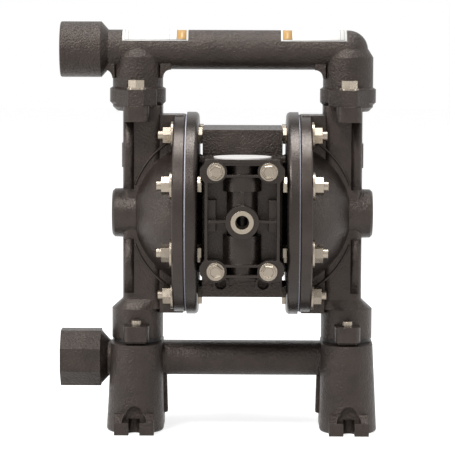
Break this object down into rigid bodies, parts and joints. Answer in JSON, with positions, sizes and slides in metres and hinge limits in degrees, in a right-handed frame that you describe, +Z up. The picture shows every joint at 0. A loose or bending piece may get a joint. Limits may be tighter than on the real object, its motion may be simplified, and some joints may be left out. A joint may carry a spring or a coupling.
{
  "type": "air operated diaphragm pump",
  "caption": "Metal double diaphragm pump driven by compressed air: two round chambers, ball check valves, side-facing threaded ports, front air valve and slotted feet.",
  "frame": {"origin": "midway between the four slotted feet, on the plane that they stand on", "axes": "+Z up, -X the way both fluid ports face, -Y the way the air inlet faces; the diaphragm rod lies along X at z = 0.182"},
  "size_m": [0.2657, 0.1956, 0.3422],
  "materials": {
    "black_casting": "satin coated casting",
    "black_moulding": "smooth satin coating",
    "black_plastic": "moulded",
    "stainless_steel": "bright machined",
    "bare_aluminium": "machined",
    "white_ptfe": "smooth waxy",
    "acetal": "machined",
    "black_rubber": "moulded",
    "white_disc": "smooth"
  },
  "bodies": {
    "root": {"center_body": "black_casting", "air_cap_left": "black_moulding", "air_cap_right": "black_moulding", "air_cap_gasket_left": "black_rubber", "air_cap_gasket_right": "black_rubber", "air_cap_screws_left": "stainless_steel", "air_cap_screws_right": "stainless_steel", "fluid_cap_left": "black_casting", "fluid_cap_right": "black_casting", "outlet_manifold": "black_casting", "inlet_manifold": "black_casting", "outlet_left_seat": "black_plastic", "outlet_right_seat": "black_plastic", "inlet_left_seat": "black_plastic", "inlet_right_seat": "black_plastic", "cap_bolts_left": "stainless_steel", "cap_bolts_right": "stainless_steel", "cap_nuts_left": "stainless_steel", "cap_nuts_right": "stainless_steel", "cap_washers_left": "stainless_steel", "cap_washers_right": "stainless_steel", "outlet_manifold_bolts": "stainless_steel", "inlet_manifold_bolts": "stainless_steel", "diaphragm_left": "white_ptfe", "diaphragm_right": "white_ptfe", "backup_diaphragm_left": "black_rubber", "backup_diaphragm_right": "black_rubber", "rod_bushing_left": "acetal", "rod_bushing_right": "acetal", "pilot_sleeve": "acetal", "valve_block": "black_moulding", "valve_gasket": "black_rubber", "air_inlet_insert": "stainless_steel", "valve_block_screws": "stainless_steel", "spool_plug": "black_moulding", "top_disc": "white_disc", "valve_plate": "stainless_steel", "exhaust_muffler": "black_plastic"},
    "rod_group": {"diaphragm_rod": "stainless_steel", "air_side_washer_left": "bare_aluminium", "air_side_washer_right": "bare_aluminium", "fluid_side_washer_left": "stainless_steel", "fluid_side_washer_right": "stainless_steel", "diaphragm_screw_left": "stainless_steel", "diaphragm_screw_right": "stainless_steel"},
    "pilot": {"pilot_rod": "stainless_steel"},
    "spool": {"main_spool": "bare_aluminium", "valve_slide": "acetal"},
    "outlet_left_valve": {"outlet_left_ball": "white_ptfe"},
    "outlet_right_valve": {"outlet_right_ball": "white_ptfe"},
    "inlet_left_valve": {"inlet_left_ball": "white_ptfe"},
    "inlet_right_valve": {"inlet_right_ball": "white_ptfe"}
  },
  "joints": [
    {"name": "rod_stroke", "type": "slide", "parent": "root", "child": "rod_group", "axis": [1, 0, 0], "range_m": [-0.011, 0.011], "deforming": ["diaphragm_left", "diaphragm_right", "backup_diaphragm_left", "backup_diaphragm_right"]},
    {"name": "pilot_shift", "type": "slide", "parent": "root", "child": "pilot", "axis": [1, 0, 0], "range_m": [-0.004, 0.004]},
    {"name": "spool_shift", "type": "slide", "parent": "root", "child": "spool", "axis": [0, 0, 1], "range_m": [-0.006, 0.006]},
    {"name": "outlet_left_lift", "type": "slide", "parent": "root", "child": "outlet_left_valve", "axis": [0, 0, 1], "range_m": [0, 0.007]},
    {"name": "outlet_right_lift", "type": "slide", "parent": "root", "child": "outlet_right_valve", "axis": [0, 0, 1], "range_m": [0, 0.007]},
    {"name": "inlet_left_lift", "type": "slide", "parent": "root", "child": "inlet_left_valve", "axis": [0, 0, 1], "range_m": [0, 0.007]},
    {"name": "inlet_right_lift", "type": "slide", "parent": "root", "child": "inlet_right_valve", "axis": [0, 0, 1], "range_m": [0, 0.007]}
  ],
  "couplings": [
    {"joint": "pilot_shift", "follows": "rod_stroke", "ratio": 0.35}
  ]
}
